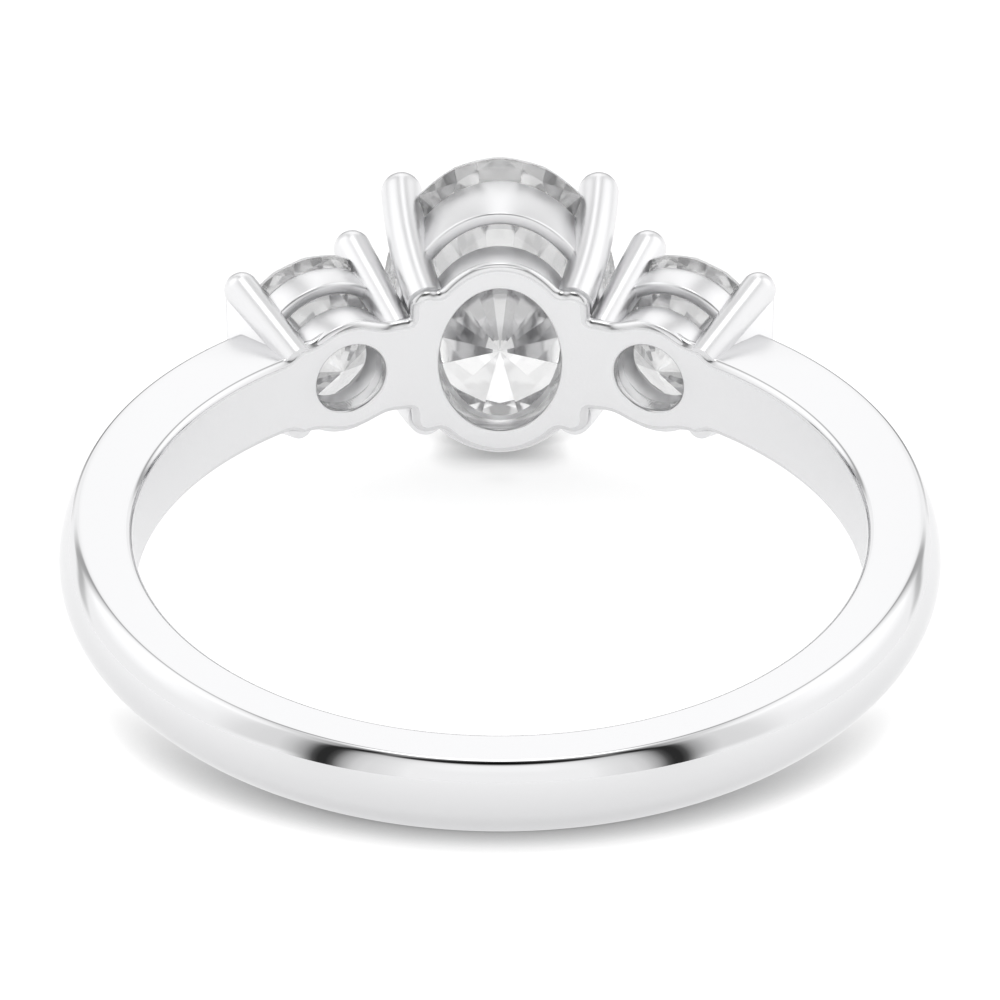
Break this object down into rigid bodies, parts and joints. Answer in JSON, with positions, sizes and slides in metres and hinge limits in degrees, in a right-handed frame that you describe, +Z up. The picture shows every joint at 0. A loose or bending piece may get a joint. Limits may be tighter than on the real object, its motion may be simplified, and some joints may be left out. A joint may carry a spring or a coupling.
{
  "type": "three stone ring",
  "caption": "Three stone ring with a long oval centre stone between round side stones, held in open baskets on a plain domed shank.",
  "frame": {"origin": "on the surface the ring lies on, under the middle of its box", "axes": "+Z up from the surface, +Y from the palm side of the shank towards the head, +X to the right with the head at the back"},
  "size_m": [0.02, 0.0222, 0.0076],
  "materials": {
    "polished_white_gold": "mirror polished outside, satin against the finger",
    "cut_diamond": "brilliant cut, clear and colourless"
  },
  "bodies": {
    "root": {"ring_mount": "polished_white_gold", "center_stone": "cut_diamond", "left_side_stone": "cut_diamond", "right_side_stone": "cut_diamond"}
  },
  "joints": []
}
